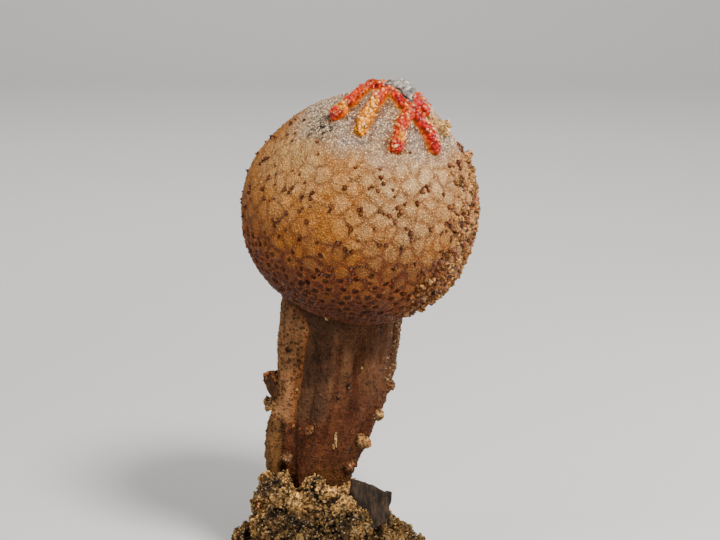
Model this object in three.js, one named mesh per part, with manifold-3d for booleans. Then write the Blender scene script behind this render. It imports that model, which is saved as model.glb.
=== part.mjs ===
// A stalked puffball, picked together with the clod of soil that it grew in.
//
// A round, warty spore case sits on a stout stalk of fused cords. The skin rises to a small crown, where a
// red, star-shaped ring of ridges surrounds the mouth. The stalk stands in a crumbly clod with a flat
// underside, and bits of soil, bark and root cling to it. Units are millimetres, +Z is up, and the origin is
// the middle of the clod's flat underside. The front is -Y and the fruit body leans towards +X.

import Module from "manifold-3d";
import * as THREE from "three";
import { ImprovedNoise } from "three/addons/math/ImprovedNoise.js";
import { mergeVertices } from "three/addons/utils/BufferGeometryUtils.js";

const wasm = await Module();
wasm.setup();

// ---- Driving dimensions -------------------------------------------------------------------------

const GAP = 0.12; // clearance between neighbouring pieces
const MERGE_DISTANCE = 1e-4;

// The spore case, in its own frame: +Z out of the mouth, -Y to the front.
const CASE_RADIUS = 7.85;
const CASE_CENTRE = new THREE.Vector3(2.42, -0.7, 26.2);
const LEAN_RIGHT = 17.5; // degrees
const LEAN_FORWARD = 13;
const CASE_DETAIL = 10; // icosahedron subdivisions
const CROWN_RISE = 0.7;
const CROWN_ANGLE = 34; // polar angle in degrees at which the crown has died away
const SHOULDER = { polar: 48, azimuth: -90, depth: 0.8, spread: 23 }; // the sunken left shoulder
const BELLY = { polar: 128, height: 0.3, spread: 30 };
const CASE_RIPPLE = 0.07;

// The mouth: each ray is a list of [polar, azimuth] in degrees on the case, from its tip to the ring.
// Azimuth 0 is the front and 90 the right.
const RAY_RADIUS = 0.5;
const RAY_LIFT = 0.22; // height of a ray's centre line over the skin at the front
const BACK_RAY_LIFT = -0.08; // the star lies flatter at the back
const RING_RADIUS = 0.38;
const RAYS = [
  [[37, -57], [27, -63], [19, -74], [13.5, -87], [10, -92]],
  [[38, -24], [29, -30], [20, -34], [12.5, -41], [7.5, -50]],
  [[41, 5], [30, 7], [22, 10], [15.5, 22]],
  [[38, 42], [28.5, 43], [23, 40], [18, 34], [15, 24]],
  [[18, 62], [14, 57], [11, 53], [8, 48]],
  [[36, 146], [28, 143], [18, 146], [9, 150]],
  [[34, -160], [25, -154], [16, -156], [9, -162]],
];
const RING = [
  [10, -92],
  [7.5, -50],
  [8, -14],
  [11, 3],
  [15, 23],
  [12, 38],
  [8, 48],
  [8.5, 90],
  [9, 135],
  [9, 175],
  [9, -140],
];
const TIP_PATH = [[13, 29], [9, 36], [4, 60], [2.5, 130]]; // the withered grey tip lies inside the ring
const TIP_KNOB_RADIUS = 0.6;
const TIP_STRIP_RADIUS = 0.26;
const TIP_LIFT = 0.08;
const TIP_KNOB_LIFT = 0.2;

// The stalk: centre line and half-widths at stations from the buried foot to inside the spore case.
const STALK_CENTRES = [
  [-1.2, 0.4, 5.2],
  [-0.65, 0.5, 9.2],
  [0.4, 0.8, 13],
  [0.9, 1.1, 16.8],
  [1.3, 1.2, 20.8],
];
const STALK_HALF_WIDTHS = [
  [2.5, 2.2],
  [3.4, 2.9],
  [4.15, 3.5],
  [4.4, 3.7],
  [4.2, 3.6],
];
const CORE_INSET = 0.85;
const CORD_FOOT_SHARE = 0.68; // a cord's radius at its foot, as a share of its radius at the top
const CORDS = [
  { top: -66, foot: -70, radius: 1.2, inset: 0 },
  { top: -28, foot: -36, radius: 1.35, inset: 0.75 },
  { top: 12, foot: -8, radius: 1.35, inset: 0.15 },
  { top: 52, foot: 26, radius: 1.5, inset: 0 },
  { top: 94, foot: 66, radius: 1.4, inset: 0.05 },
  { top: 136, foot: 114, radius: 1.3, inset: 0.1 },
  { top: 178, foot: 162, radius: 1.35, inset: 0.25 },
  { top: -140, foot: -150, radius: 1.25, inset: 0.1 },
  { top: -102, foot: -110, radius: 1.2, inset: 0.1 },
];
const SIDE_ROOT = {
  path: [[-2.7, -0.4, 13], [-3.4, -0.7, 11], [-3.6, -0.8, 9], [-3.3, -0.7, 6.4]],
  radius: 0.6,
};

// The clod: lumps of soil as [x, y, z, radius x, radius y, radius z], the first being the body of the clod.
const CLOD_LUMPS = [
  [-0.1, 0.3, 1.6, 5.7, 5, 3.3],
  [-0.7, 0.7, 4.4, 3.5, 3.8, 3.1],
  [-3.45, -1.5, 6.2, 1.45, 1.55, 1.75],
  [-2.3, -2.4, 5.6, 1.4, 1.2, 1.6],
  [-3.9, -1.3, 4.6, 1.35, 1.5, 1.8],
  [-0.9, -2.8, 6.7, 1, 0.9, 1.2],
  [0, -3, 5.7, 1.1, 1, 1.3],
  [-3.3, -2, 3.8, 1.7, 1.9, 2.1],
  [0.9, -3, 4.2, 2.1, 2.1, 2.2],
  [-1.5, -3.8, 3.2, 2.3, 1.9, 2.1],
  [5.4, -0.9, 1.6, 1.8, 2.1, 1.9],
  [-5.5, -1, 1.7, 1.4, 1.6, 1.8],
  [1.7, 2.9, 3.2, 2.3, 1.9, 2],
  [-2.2, 3.1, 5, 1.9, 1.8, 2.1],
  [3.1, 0.5, 3.7, 1.6, 2, 1.5],
];
const CLOD_DETAILS = [6, 3]; // subdivisions of the body and of the other lumps
const CLOD_ROUGHNESS = 0.24;

// The bark chip: its outline in its own plane, right and up from the chip's middle, facing the front.
const CHIP_OUTLINE = [
  [-1.4, 1.65],
  [-0.7, 1.5],
  [0.3, 1.1],
  [0.85, 0.75],
  [1.45, 0.7],
  [1.38, 0],
  [1.15, -0.5],
  [1.4, -0.75],
  [1, -1.25],
  [0.1, -1.9],
  [-1.2, -1.8],
  [-1.5, 0.2],
];
const CHIP_THICKNESS = 0.6;
const CHIP_EDGE = 0.08; // bevel of the chip's edges
const CHIP_CENTRE = new THREE.Vector3(3.15, -2.5, 5.75);
const CHIP_TURN = new THREE.Euler(1.4, 0.2, 0);

const ROOT_STUB = { path: [[-1.6, -5.2, 1.6], [-1.62, -5.75, 3], [-1.66, -5.7, 4.5]], radius: 0.3 };
const HUSK = { path: [[-3.6, -1.3, 12.9], [-3.9, -1.5, 13.6], [-4.05, -1.4, 14.4]], radius: 0.3 };

// Crumbs of soil on the case as [polar, azimuth, radius], and on the stalk as [x, y, z, radius].
const CASE_CRUMBS = {
  crown_crumb_upper: [20.3, 60, 0.38],
  crown_crumb_lower: [25.5, 72, 0.6],
  crown_crumb_side: [46, 90, 0.42],
};
const STALK_CRUMBS = {
  stalk_crumb_left_high: [-3.9, -0.3, 14, 0.5],
  stalk_crumb_left_low: [-3.85, -0.7, 12.3, 0.58],
  stalk_crumb_right_high: [4.3, 0, 13.4, 0.6],
  stalk_crumb_right_ball: [3.75, -0.6, 11.5, 0.42],
  stalk_crumb_right_middle: [2.7, -0.9, 9.6, 0.5],
  stalk_crumb_right_low: [1.6, -1.1, 8, 0.46],
  stalk_crumb_front: [-1.1, -2.4, 10.8, 0.34],
  stalk_crumb_front_left: [-2.75, -1.8, 8.7, 0.34],
  stalk_crumb_back: [0.6, 4.25, 12.6, 0.46],
  stalk_crumb_back_left: [-2.7, 3.2, 10.4, 0.5],
};
const CRUMB_DETAIL = 1;
const CRUMB_ROUGHNESS = 0.3;
const CRUMB_GRAINS = [ // each grain of a crumb as [x, y, z, size] in crumb radii
  [0.25, 0, 0.3, 0.75],
  [-0.35, 0.15, -0.1, 0.7],
  [0.15, -0.2, -0.45, 0.6],
];

// ---- Materials ----------------------------------------------------------------------------------

const material = (color, roughness) => new THREE.MeshStandardMaterial({ color, roughness, metalness: 0 });
const MATERIALS = {
  skin: material(0xa4693a, 0.55),
  mouth: material(0xe0421c, 0.35),
  stalk: material(0x6e3f22, 0.5),
  soil: material(0x8f7140, 0.95),
  bark: material(0x4a423a, 0.85),
  root: material(0xa98a5c, 0.8),
};

// ---- Helpers ------------------------------------------------------------------------------------

const perlin = new ImprovedNoise();
const radians = THREE.MathUtils.degToRad;
const vectors = (rows) => rows.map((row) => new THREE.Vector3(...row));

function noise(point, frequency, seed) {
  return perlin.noise(
    point.x * frequency + seed,
    point.y * frequency + 1.7 * seed,
    point.z * frequency - seed,
  );
}

// Moves every vertex of a geometry with move(point), which changes the point that it is given.
function reshape(geometry, move) {
  const positions = geometry.getAttribute("position");
  const point = new THREE.Vector3();
  for (let i = 0; i < positions.count; i++) {
    move(point.fromBufferAttribute(positions, i));
    positions.setXYZ(i, point.x, point.y, point.z);
  }
  return geometry;
}

function solidOf(geometry) {
  const source = geometry.index ? geometry.toNonIndexed() : geometry;
  const bare = new THREE.BufferGeometry().setAttribute("position", source.getAttribute("position"));
  const merged = mergeVertices(bare, MERGE_DISTANCE);
  return new wasm.Manifold(
    new wasm.Mesh({
      numProp: 3,
      vertProperties: merged.getAttribute("position").array,
      triVerts: new Uint32Array(merged.index.array),
    }),
  );
}

function geometryOf(solid) {
  const { vertProperties, triVerts } = solid.getMesh();
  const geometry = new THREE.BufferGeometry();
  geometry.setAttribute("position", new THREE.BufferAttribute(vertProperties, 3));
  geometry.setIndex(new THREE.BufferAttribute(triVerts, 1));
  geometry.computeVertexNormals();
  return geometry;
}

const joined = (solids) => solids.reduce((whole, solid) => whole.add(solid));

function named(name, solid, finish) {
  const mesh = new THREE.Mesh(geometryOf(solid), finish);
  mesh.name = name;
  return mesh;
}

// An uneven lump: a sphere of the given radii, roughened by noise.
function lump(centre, radii, roughness, seed, detail, clearance = 0) {
  const grown = radii.clone().addScalar(clearance);
  return solidOf(
    reshape(new THREE.IcosahedronGeometry(1, detail), (point) => {
      const swell = 1 + roughness * noise(point, 1.9, seed) + 0.5 * roughness * noise(point, 4.1, seed);
      point.multiply(grown).multiplyScalar(swell).add(centre);
    }),
  );
}

// A round-ended cord along a path. halfWidths(u) gives its half-widths across the path and along
// outward(point).
function cord(path, halfWidths, outward, sides = 10, rings = 16) {
  const length = path.getLength();
  const across = new THREE.Vector3();
  const up = new THREE.Vector3();
  return solidOf(
    reshape(new THREE.SphereGeometry(1, sides, rings), (point) => {
      const u = THREE.MathUtils.clamp((1 - point.y) / 2, 0, 1);
      const around = Math.atan2(point.z, point.x);
      const [wide, high] = halfWidths(u);
      const toEnd = Math.min(u, 1 - u) * length;
      const cap = Math.min(wide, high);
      const narrowing = toEnd < cap ? Math.sqrt(Math.max(0, 1 - (1 - toEnd / cap) ** 2)) : 1;
      const tangent = path.getTangentAt(u);
      const centre = path.getPointAt(u);
      across.crossVectors(outward(centre), tangent).normalize();
      up.crossVectors(tangent, across);
      point.copy(centre);
      point.addScaledVector(across, wide * narrowing * Math.cos(around));
      point.addScaledVector(up, high * narrowing * Math.sin(around));
    }),
  );
}

// ---- The spore case -----------------------------------------------------------------------------

function direction(polar, azimuth) {
  const p = radians(polar);
  const a = radians(azimuth);
  return new THREE.Vector3(Math.sin(p) * Math.sin(a), -Math.sin(p) * Math.cos(a), Math.cos(p));
}

const bell = (angle, spread) => Math.exp(-((angle / radians(spread)) ** 2));

const SHOULDER_DIRECTION = direction(SHOULDER.polar, SHOULDER.azimuth);

// The case's radius along a unit vector in its own frame.
function caseRadius(unit) {
  const polar = Math.acos(THREE.MathUtils.clamp(unit.z, -1, 1));
  const crown = CROWN_RISE * THREE.MathUtils.smoothstep(1 - polar / radians(CROWN_ANGLE), 0, 1);
  const shoulder = SHOULDER.depth * bell(unit.angleTo(SHOULDER_DIRECTION), SHOULDER.spread);
  const belly = BELLY.height * bell(polar - radians(BELLY.polar), BELLY.spread);
  return CASE_RADIUS + crown - shoulder + belly + CASE_RIPPLE * noise(unit, 2.3, 5);
}

function onCase([polar, azimuth], lift = 0) {
  const unit = direction(polar, azimuth);
  return unit.multiplyScalar(caseRadius(unit) + lift);
}

const fromCaseCentre = (point) => point.clone().normalize();

function caseBall(clearance) {
  return solidOf(
    reshape(new THREE.IcosahedronGeometry(1, CASE_DETAIL), (point) => {
      const radius = caseRadius(point.normalize());
      point.multiplyScalar(radius + clearance);
    }),
  );
}

// The grey tip: a low strip along the mouth that ends in a knob.
function crownTip(clearance) {
  const path = new THREE.CatmullRomCurve3(TIP_PATH.map((place) => onCase(place, TIP_LIFT)));
  const radius = (u) => clearance + THREE.MathUtils.lerp(TIP_STRIP_RADIUS, TIP_STRIP_RADIUS * 1.3, u);
  const strip = cord(path, (u) => [radius(u), radius(u)], fromCaseCentre, 10, 10);
  const knob = lump(
    onCase(TIP_PATH.at(-1), TIP_KNOB_LIFT),
    new THREE.Vector3().setScalar(TIP_KNOB_RADIUS),
    0.25,
    11,
    4,
    clearance,
  );
  return strip.add(knob);
}

const caseSolid = (clearance = 0) => caseBall(clearance).add(crownTip(clearance));

function onMouth([polar, azimuth]) {
  const back = THREE.MathUtils.smoothstep(Math.abs(azimuth), 85, 130);
  return onCase([polar, azimuth], THREE.MathUtils.lerp(RAY_LIFT, BACK_RAY_LIFT, back));
}

function mouthSolid() {
  const ringPath = new THREE.CatmullRomCurve3(RING.map(onMouth), true);
  const ring = solidOf(new THREE.TubeGeometry(ringPath, 36, RING_RADIUS, 8, true));
  const rays = RAYS.map((places) => {
    const path = new THREE.CatmullRomCurve3(places.map(onMouth));
    const radius = (u) => RAY_RADIUS * (1 - 0.12 * u);
    return cord(path, (u) => [radius(u), radius(u)], fromCaseCentre, 10, 14);
  });
  return joined([ring, ...rays]).subtract(caseSolid(GAP));
}

// ---- The stalk ----------------------------------------------------------------------------------

const stalkCentre = new THREE.CatmullRomCurve3(vectors(STALK_CENTRES));
const stalkHalfWidths = new THREE.SplineCurve(STALK_HALF_WIDTHS.map((row) => new THREE.Vector2(...row)));
const towardsFront = () => new THREE.Vector3(0, -1, 0);

function stalkCord({ top, foot, radius, inset }, clearance) {
  const radiusAt = (u) => radius * THREE.MathUtils.lerp(CORD_FOOT_SHARE, 1, Math.sqrt(u));
  const points = [0, 0.2, 0.4, 0.6, 0.8, 1].map((u) => {
    const sway = 5 * Math.sin(9 * u + top);
    const azimuth = radians(THREE.MathUtils.lerp(foot, top, u) + sway);
    const half = stalkHalfWidths.getPoint(u).subScalar(radiusAt(u) + inset);
    const centre = stalkCentre.getPoint(u);
    return new THREE.Vector3(half.x * Math.sin(azimuth), -half.y * Math.cos(azimuth), 0).add(centre);
  });
  const widthAt = (u) => radiusAt(u) + clearance;
  return cord(new THREE.CatmullRomCurve3(points), (u) => [widthAt(u), widthAt(u)], towardsFront, 10, 12);
}

function stalkSolid(clearance = 0) {
  const core = cord(
    stalkCentre,
    (u) => stalkHalfWidths.getPoint(u).subScalar(CORE_INSET - clearance).toArray(),
    towardsFront,
    18,
    16,
  );
  const sideRoot = cord(
    new THREE.CatmullRomCurve3(vectors(SIDE_ROOT.path)),
    () => [SIDE_ROOT.radius + clearance, SIDE_ROOT.radius + clearance],
    towardsFront,
  );
  return joined([core, sideRoot, ...CORDS.map((each) => stalkCord(each, clearance))]);
}

// ---- Soil, bark and roots -----------------------------------------------------------------------

function rootSolid({ path, radius }, clearance = 0) {
  const swelling = (u) => (radius + clearance) * (0.8 + 0.3 * Math.sin(Math.PI * u));
  const curve = new THREE.CatmullRomCurve3(vectors(path));
  return cord(curve, (u) => [swelling(u), swelling(u)], towardsFront, 8, 10);
}

function chipSolid(clearance = 0) {
  const outline = new THREE.Shape(CHIP_OUTLINE.map((row) => new THREE.Vector2(...row)));
  const geometry = new THREE.ExtrudeGeometry(outline, {
    depth: CHIP_THICKNESS - 2 * CHIP_EDGE,
    bevelThickness: CHIP_EDGE + clearance,
    bevelSize: CHIP_EDGE,
    bevelOffset: clearance - CHIP_EDGE,
    bevelSegments: 1,
    steps: 1,
  });
  const place = new THREE.Matrix4().makeRotationFromEuler(CHIP_TURN).setPosition(CHIP_CENTRE);
  return solidOf(geometry.applyMatrix4(place));
}

function floorCutter() {
  const size = 40;
  return solidOf(new THREE.BoxGeometry(size, size, size).translate(0, 0, -size / 2));
}

function clodSolid() {
  const lumps = CLOD_LUMPS.map(([x, y, z, rx, ry, rz], i) => {
    const detail = CLOD_DETAILS[Math.min(i, 1)];
    return lump(new THREE.Vector3(x, y, z), new THREE.Vector3(rx, ry, rz), CLOD_ROUGHNESS, 3 + i, detail);
  });
  return joined(lumps)
    .subtract(floorCutter())
    .subtract(stalkSolid(GAP))
    .subtract(chipSolid(GAP))
    .subtract(rootSolid(ROOT_STUB, GAP));
}

// The largest body of a solid that a cut has left in several.
const largest = (solid) => solid.decompose().reduce((a, b) => (a.volume() > b.volume() ? a : b));

// A crumb is a few grains stuck together, cut back to lie against what supports it.
function crumb(centre, radius, seed, supports) {
  const grains = CRUMB_GRAINS.map(([x, y, z, size], i) => {
    const middle = new THREE.Vector3(x, y, z).multiplyScalar(radius).add(centre);
    const radii = new THREE.Vector3(1.1, 0.9, 1).multiplyScalar(radius * size);
    return lump(middle, radii, CRUMB_ROUGHNESS, seed + 0.37 * i, CRUMB_DETAIL);
  });
  return largest(supports.reduce((left, support) => left.subtract(support), joined(grains)));
}

// ---- The assembly -------------------------------------------------------------------------------

const head = new THREE.Group();
head.position.copy(CASE_CENTRE);
head.rotation.set(radians(LEAN_FORWARD), radians(LEAN_RIGHT), 0);
head.updateMatrix();

const clearCase = caseSolid(GAP);
const mouth = mouthSolid();
head.add(named("spore_case", caseSolid(), MATERIALS.skin));
head.add(named("mouth_rays", mouth, MATERIALS.mouth));
Object.entries(CASE_CRUMBS).forEach(([name, [polar, azimuth, radius]], i) => {
  const centre = onCase([polar, azimuth], 0.55 * radius);
  head.add(named(name, crumb(centre, radius, 31 + i, [clearCase, mouth]), MATERIALS.soil));
});

const clearStalk = stalkSolid(GAP);
const clod = clodSolid();
const husk = rootSolid(HUSK).subtract(clearStalk);
const caseInPlace = solidOf(geometryOf(clearCase).applyMatrix4(head.matrix));
const puffball = new THREE.Group();
puffball.add(head);
puffball.add(named("stalk", stalkSolid().subtract(caseInPlace), MATERIALS.stalk));
puffball.add(named("soil_clod", largest(clod), MATERIALS.soil));
puffball.add(named("bark_chip", chipSolid().subtract(clearStalk), MATERIALS.bark));
puffball.add(named("root_stub", rootSolid(ROOT_STUB), MATERIALS.root));
puffball.add(named("husk_sliver", largest(husk), MATERIALS.bark));
Object.entries(STALK_CRUMBS).forEach(([name, [x, y, z, radius]], i) => {
  const supports = [clearStalk, clod, husk];
  const solid = crumb(new THREE.Vector3(x, y, z), radius, 51 + i, supports);
  puffball.add(named(name, solid, MATERIALS.soil));
});

export default puffball;
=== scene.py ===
import math

import bmesh
import bpy
import numpy as np
from mathutils import Matrix, Vector
from mathutils.kdtree import KDTree


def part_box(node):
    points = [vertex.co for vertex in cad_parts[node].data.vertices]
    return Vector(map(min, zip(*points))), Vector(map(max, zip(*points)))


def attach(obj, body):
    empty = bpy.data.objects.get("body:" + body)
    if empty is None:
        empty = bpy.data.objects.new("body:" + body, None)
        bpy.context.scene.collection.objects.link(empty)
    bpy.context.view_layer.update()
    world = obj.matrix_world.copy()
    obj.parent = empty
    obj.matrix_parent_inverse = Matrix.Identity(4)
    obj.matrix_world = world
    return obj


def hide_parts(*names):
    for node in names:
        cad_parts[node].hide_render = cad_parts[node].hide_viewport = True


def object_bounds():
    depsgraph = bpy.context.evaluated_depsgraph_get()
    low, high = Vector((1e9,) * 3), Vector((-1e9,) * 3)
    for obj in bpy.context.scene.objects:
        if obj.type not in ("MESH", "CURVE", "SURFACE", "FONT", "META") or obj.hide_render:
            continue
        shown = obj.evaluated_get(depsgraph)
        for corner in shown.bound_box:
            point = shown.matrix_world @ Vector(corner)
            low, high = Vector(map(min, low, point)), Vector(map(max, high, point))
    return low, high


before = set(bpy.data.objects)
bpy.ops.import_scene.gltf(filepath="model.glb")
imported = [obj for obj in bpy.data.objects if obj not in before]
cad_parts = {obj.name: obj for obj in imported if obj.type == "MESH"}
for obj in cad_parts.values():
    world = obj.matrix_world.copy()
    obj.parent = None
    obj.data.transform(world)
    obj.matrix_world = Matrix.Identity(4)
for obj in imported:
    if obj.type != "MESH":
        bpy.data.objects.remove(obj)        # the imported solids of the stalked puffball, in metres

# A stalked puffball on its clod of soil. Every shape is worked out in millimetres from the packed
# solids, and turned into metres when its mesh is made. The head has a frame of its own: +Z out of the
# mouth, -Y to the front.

MM = 0.001
CAD_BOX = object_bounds()

# ---- Driving values ------------------

HEAD_LEAN = (13, 17.5)  # degrees, forward about X and to the right about Y
CASE_GRID = 128  # cells along each side of the six-sided grid that the skin is made on
CASE_RADIUS = 8  # mm, near enough for the sizes of patterns on the skin
PLATES = 620  # polygonal plates in the skin
EDGE_SPOTS = 9000  # places tried for warts along the plates' edges
PIT_SPOTS = 7000  # places tried for pits round the foot of the case
CRUMB_SPOTS = 6000  # places tried for crumbs on the case
GRANULES = 28000  # fine grains on the skin, less those where the star is
STALK_GRAINS = 11000
PIT_DEPTH = 0.13  # mm, as are the values below
PIT_RIM = 0.04
PIT_RADII = (0.19, 0.29)
GRANULE_RADII = (0.04, 0.072)
STALK_GRAIN_RADII = (0.045, 0.085)
FLAKE_RADII = (0.1, 0.28)
VOXELS = {  # how finely each solid is meshed anew
    "mouth_rays": 0.055,
    "stalk": 0.1,
    "soil_clod": 0.1,
    "bark_chip": 0.05,
    "root_stub": 0.045,
    "husk_sliver": 0.045,
}
TIP_VOXEL = 0.045

CAMERA_ELEVATION = 10  # degrees
CAMERA_DISTANCE = 138  # mm
CAMERA_LENS = 100  # mm, on a 36 mm frame
CAMERA_AIM = (0.73, 0.65, 4.14)  # mm from the middle of the object's box

SKIN = {
    "amber": "a0683a",
    "tan": "a06a38",
    "buff": "b8946a",
    "pale": "c2a27c",
    "grey": "b09c8c",
    "smut": "2e2a24",
    "russet": "54260f",
    "umber": "2c1307",
    "line": "6a3418",
    "rim": "8c5030",
    "pit": "321b0e",
    "hollow": "6a3416",
    "mouth_edge": "c8842e",
    "grain": "e0c8a4",
    "grime": "241812",
}
WART = {"dark": "4e2612", "russet": "804c30", "tan": "a67c58"}
FLAKE = {"dark": "40200f", "pale": "c09468"}
RAY = {
    "red": "a81a02",
    "orange": "b84206",
    "yellow": "cc840c",
    # the pebbles' crests, partly a painted highlight
    "crest": "e09a40",
    # the pale colour of the painted glints
    "glint": "ffd8a4",
    "seam": "d07818",
}
TIP = {"dark": "4c4642", "ash": "a49b94"}
STALK = {
    "amber": "926a4c",
    "brown": "5c3d2b",
    # a painted glow of light through a cord's edge
    "glow": "8a4e2c",
    # painted shade in the recess and under the head
    "dark": "33241a",
    "russet": "4c2616",
    "straw": "66492e",
    "foot": "54341c",
    # painted shade in the furrows and clefts between cords
    "groove": "3c180c",
    "cleft": "20110a",
    "grain": "b08a60",
    # the colour of the golden grains painted as glints
    "gold": "a08a6a",
}
# dark is the nearly black painted shade in the clod's hollows
SOIL = {"gold": "a88559", "tan": "6e5338", "brown": "382a1e", "dark": "080504", "grit": "c8b090"}
BARK = {"dark": "1a140f", "pale": "3c3026", "worn": "8a7258"}
ROOT = {"dark": "54401f", "pale": "9a7f4c"}
HUSK = {"dark": "1c0f07", "pale": "46280f"}
SATURATION = 1.2  # the film's view of a colour is paler than the colour


# ---- Numbers -------------------------


def dice(seed):
    """Random numbers that are the same in each run."""
    return np.random.default_rng(seed)


def paint(code):
    """A linear colour, more vivid than the six-digit web colour that it is seen as."""
    channels = np.array([int(code[i : i + 2], 16) for i in (0, 2, 4)]) / 255
    linear = np.where(channels <= 0.04045, channels / 12.92, ((channels + 0.055) / 1.055) ** 2.4)
    light = linear @ [0.2126, 0.7152, 0.0722]
    return np.clip(light + SATURATION * (linear - light), 0.002, 1)


def mix(a, b, share):
    """Colours or numbers a turned into b by a share from 0 to 1 at each point."""
    share = np.clip(share, 0, 1)
    if np.ndim(share) and (np.ndim(a) or np.ndim(b)):
        share = share[:, None]
    return a + (b - a) * share


def coated(tint, codes, *coats):
    """A tint, or one of the codes, under coats of paint: each (the name of its code, its share)."""
    if isinstance(tint, str):
        tint = paint(codes[tint])
    for name, share in coats:
        tint = mix(tint, paint(codes[name]), share)
    return tint


def step(low, high, value):
    """0 at low, 1 at high, smooth between. low may be the greater."""
    share = np.clip((value - low) / (high - low), 0, 1)
    return share * share * (3 - 2 * share)


def hill(value, spread):
    """1 where the value is 0, falling to 0 about twice the spread from it."""
    return np.exp(-((value / spread) ** 2))


def unit(rows):
    return rows / np.linalg.norm(rows, axis=-1, keepdims=True)


LATTICE = dice(5).permutation(256)
SLOPES = unit(dice(6).normal(size=(256, 3)))


def noise(points, cells_per_mm, seed=0):
    """Gradient noise, about -1 to 1. cells_per_mm may be one number or one for each axis."""
    places = points * cells_per_mm + 17.31 * seed
    base = np.floor(places).astype(int)
    part = places - base
    fade = part**3 * (part * (part * 6 - 15) + 10)
    total = np.zeros(len(points))
    for corner in np.ndindex(2, 2, 2):
        x, y, z = ((base + corner) & 255).T
        slope = SLOPES[LATTICE[(LATTICE[(LATTICE[x] + y) & 255] + z) & 255]]
        weight = np.prod(np.where(corner, fade, 1 - fade), axis=1)
        total += weight * np.sum(slope * (part - corner), axis=1)
    return 1.6 * total


def rough(points, cells_per_mm, octaves=3, seed=0):
    """Noise in several octaves."""
    return sum(
        noise(points, np.multiply(cells_per_mm, 2.1**i), seed + i) / 1.9**i for i in range(octaves)
    )


def nearest(points, seeds, count=1):
    """Distances to the nearest seeds and their numbers, one column for each of the count nearest."""
    tree = KDTree(len(seeds))
    for i, seed in enumerate(seeds):
        tree.insert(seed, i)
    tree.balance()
    found = np.array([[(hit[2], hit[1]) for hit in tree.find_n(point, count)] for point in points])
    return found[:, :, 0], found[:, :, 1].astype(int)


def rounded_cells(points, size, seed, jitter):
    """1 at the middle of each of many round cells and 0 between them, with a chance number for each cell.

    points lie evenly over a surface, and size of them make one cell.
    """
    random = dice(seed)
    seeds = points[random.permutation(len(points))[::size]]
    seeds = seeds + random.normal(size=seeds.shape) * jitter
    distances, numbers = nearest(points, seeds, 2)
    share = np.clip(1 - distances[:, 0] / (distances[:, 1] + 1e-9), 0, 1)
    return np.sqrt(share), random.normal(size=len(seeds))[numbers[:, 0]]


def spaced(points, distance):
    """The numbers of those points, taken in turn, that keep the distance from all taken before."""
    taken = []
    for i, point in enumerate(points):
        if not taken or np.min(np.sum((points[taken] - point) ** 2, 1)) > distance[i] ** 2:
            taken.append(i)
    return np.array(taken)


# ---- Meshes --------------------------


def placed(name, data):
    """A new object in the scene."""
    made = bpy.data.objects.new(name, data)
    bpy.context.scene.collection.objects.link(made)
    return made


def smooth_mesh(name, vertices, faces):
    mesh = bpy.data.meshes.new(name)
    mesh.from_pydata(np.asarray(vertices).tolist(), [], np.asarray(faces).tolist())
    mesh.polygons.foreach_set("use_smooth", [True] * len(faces))
    return mesh


def gathered(index, rows, count):
    """The sum of the rows that share each index."""
    return np.stack([np.bincount(index, column, count) for column in rows.T], 1)


def vertex_normals(vertices, faces):
    corners = vertices[faces]
    across = corners[:, 2] - corners[:, 0], corners[:, -1] - corners[:, 1]
    normals = np.cross(*across)
    return unit(
        sum(gathered(faces[:, i], normals, len(vertices)) for i in range(faces.shape[1])) + 1e-12
    )


def edges_of(faces):
    """Each edge of the faces, in both directions."""
    pairs = np.concatenate([np.stack([faces, np.roll(faces, turn, 1)], 2) for turn in (1, -1)])
    return np.unique(pairs.reshape(-1, 2), axis=0)


def relaxed(vertices, faces, rounds):
    """The vertices, each drawn towards its neighbours several times over, without shrinking much."""
    pull, push = 0.6, -0.54
    a, b = edges_of(faces).T
    share = 1 / np.bincount(a, minlength=len(vertices))[:, None]
    for i in range(2 * rounds):
        amount = pull if i % 2 == 0 else push
        vertices = vertices + amount * (gathered(a, vertices[b], len(vertices)) * share - vertices)
    return vertices


def remeshed(mesh, voxel):
    """An even, fine copy of a closed mesh that is in millimetres: vertices and four-sided faces."""
    source = placed("source", mesh)
    modifier = source.modifiers.new("remesh", "REMESH")
    modifier.mode = "VOXEL"
    modifier.voxel_size = voxel
    evaluated = source.evaluated_get(bpy.context.evaluated_depsgraph_get())
    made = evaluated.to_mesh()
    vertices = np.empty(3 * len(made.vertices), np.float32)
    made.vertices.foreach_get("co", vertices)
    corners = np.empty(len(made.loops), np.int32)
    made.loops.foreach_get("vertex_index", corners)
    evaluated.to_mesh_clear()
    bpy.data.objects.remove(source)
    bpy.data.meshes.remove(mesh)
    return vertices.reshape(-1, 3).astype(float), corners.reshape(-1, 4).astype(int)


def fine_copy(node, rounds):
    """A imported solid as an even, fine mesh without its flat facets."""
    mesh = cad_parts[node].data.copy()
    mesh.transform(Matrix.Scale(1 / MM, 4))
    vertices, faces = remeshed(mesh, VOXELS[node])
    return relaxed(vertices, faces, rounds), faces


def solid(node):
    """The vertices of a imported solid, in millimetres."""
    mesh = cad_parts[node].data
    vertices = np.empty(3 * len(mesh.vertices), np.float32)
    mesh.vertices.foreach_get("co", vertices)
    return vertices.reshape(-1, 3).astype(float) / MM


def ball(subdivisions):
    """A unit ball of triangles: vertices and faces."""
    made = bmesh.new()
    bmesh.ops.create_icosphere(made, subdivisions=subdivisions, radius=1)
    vertices = np.array([vertex.co for vertex in made.verts])
    faces = np.array([[vertex.index for vertex in face.verts] for face in made.faces])
    made.free()
    return vertices, faces


def tangents(normals):
    """Two unit vectors across each normal."""
    helper = np.where(np.abs(normals[:, 2:]) < 0.9, [[0, 0, 1.0]], [[1.0, 0, 0]])
    first = unit(np.cross(helper, normals))
    return first, np.cross(normals, first)


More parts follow.
